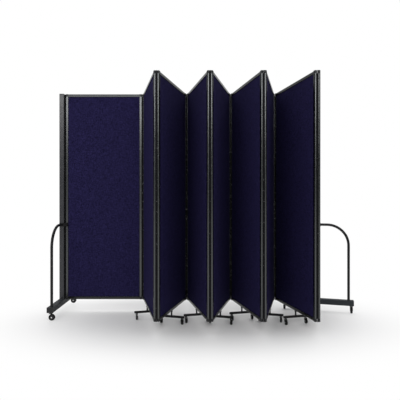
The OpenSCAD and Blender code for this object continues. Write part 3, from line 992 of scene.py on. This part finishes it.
def pale_floor():
    """Pale under the object. Further out it fades to white by its own light, but only where
    the camera or a mirroring surface sees it."""
    mat = bpy.data.materials.new("pale_floor")
    mat.use_nodes = True
    tree = mat.node_tree
    shader = tree.nodes["Principled BSDF"]
    shader.inputs["Base Color"].default_value = floor_color
    shader.inputs["Roughness"].default_value = 0.55
    centred = tree.nodes.new("ShaderNodeMapping")
    centred.inputs["Location"].default_value = (-shown_centre[0], -shown_centre[1], 0)
    centred.inputs["Scale"].default_value = (1 / shown_length, 1 / shown_depth, 1)
    tree.links.new(tree.nodes.new("ShaderNodeTexCoord").outputs["Object"], centred.inputs["Vector"])
    far = tree.nodes.new("ShaderNodeVectorMath")
    far.operation = "LENGTH"
    tree.links.new(centred.outputs["Vector"], far.inputs[0])
    fade = ranged(tree, far.outputs["Value"], low=0.25, high=1.0, smooth=True)
    seen, mirrored = seen_and_mirrored(tree)
    white = tree.nodes.new("ShaderNodeEmission")
    white.inputs["Strength"].default_value = 1.0
    blend = tree.nodes.new("ShaderNodeMixShader")
    tree.links.new(calc(tree, "MULTIPLY", fade, calc(tree, "MAXIMUM", seen, mirrored)), blend.inputs["Fac"])
    tree.links.new(shader.outputs[0], blend.inputs[1])
    tree.links.new(white.outputs[0], blend.inputs[2])
    tree.links.new(blend.outputs[0], tree.nodes["Material Output"].inputs["Surface"])
    return mat


def floor():
    mesh = bpy.data.meshes.new("floor")
    bm = bmesh.new()
    bmesh.ops.create_grid(bm, x_segments=1, y_segments=1, size=floor_size)
    bm.to_mesh(mesh)
    bm.free()
    mesh.materials.append(pale_floor())
    obj = bpy.data.objects.new("floor", mesh)
    bpy.context.scene.collection.objects.link(obj)


def room():
    """A grey room, lighter to the right and overhead, and white behind the object."""
    world = bpy.data.worlds.new("room")
    bpy.context.scene.world = world
    world.use_nodes = True
    tree = world.node_tree
    walls = tree.nodes["Background"]
    walls.inputs["Color"].default_value = room_color
    white = tree.nodes.new("ShaderNodeBackground")
    white.inputs["Color"].default_value = (1, 1, 1, 1)
    way = tree.nodes.new("ShaderNodeSeparateXYZ")
    tree.links.new(tree.nodes.new("ShaderNodeTexCoord").outputs["Generated"], way.inputs[0])
    seen, mirrored = seen_and_mirrored(tree)

    # metal shows the room in front dimmer than it is, and its two side walls dimmer still
    sideways = calc(tree, "ABSOLUTE", way.outputs["X"])
    dimming = ranged(tree, sideways, low=0.6, high=0.9, to_low=front_dimming, to_high=side_dimming)
    dimming = calc(tree, "MULTIPLY", dimming, mirrored)
    level = calc(tree, "MULTIPLY_ADD", way.outputs["X"], more_to_right, room_level)
    level = calc(tree, "MULTIPLY", level, calc(tree, "SUBTRACT", 1.0, dimming))
    overhead = calc(tree, "POWER", calc(tree, "MAXIMUM", way.outputs["Z"], 0.0), 4.0)
    level = calc(tree, "MULTIPLY_ADD", overhead, more_overhead, level)
    tree.links.new(level, walls.inputs["Strength"])

    behind = calc(tree, "MULTIPLY", mirrored, ranged(tree, way.outputs["Y"], low=0.3, high=0.8))
    pick = tree.nodes.new("ShaderNodeMixShader")
    tree.links.new(calc(tree, "MAXIMUM", seen, behind), pick.inputs["Fac"])
    tree.links.new(walls.outputs[0], pick.inputs[1])
    tree.links.new(white.outputs[0], pick.inputs[2])
    tree.links.new(pick.outputs[0], tree.nodes["World Output"].inputs["Surface"])


def lamp(name, place, target, size, watts):
    data = bpy.data.lights.new(name, "AREA")
    data.shape = "RECTANGLE"
    data.size, data.size_y = size
    data.energy = watts
    obj = bpy.data.objects.new(name, data)
    obj.location = place
    obj.rotation_euler = (Vector(target) - Vector(place)).to_track_quat("-Z", "Y").to_euler()
    bpy.context.scene.collection.objects.link(obj)


def camera():
    data = bpy.data.cameras.new("camera")
    data.sensor_width = 36
    data.lens = 36.54
    obj = bpy.data.objects.new("camera", data)
    obj.location = view_from
    obj.rotation_euler = (math.pi / 2, 0, 0)
    bpy.context.scene.collection.objects.link(obj)
    bpy.context.scene.camera = obj


floor()
room()
lamp("key", place=(-0.8, -5.6, 3.15), target=(-0.2, 0, 0.8), size=(6.8, 1.5), watts=164)
lamp("top", place=(0.2, 1.6, 4.0), target=(0.2, 0.8, 0), size=(3.4, 2.0), watts=25)
camera()
bpy.context.scene.view_settings.view_transform = "Standard"
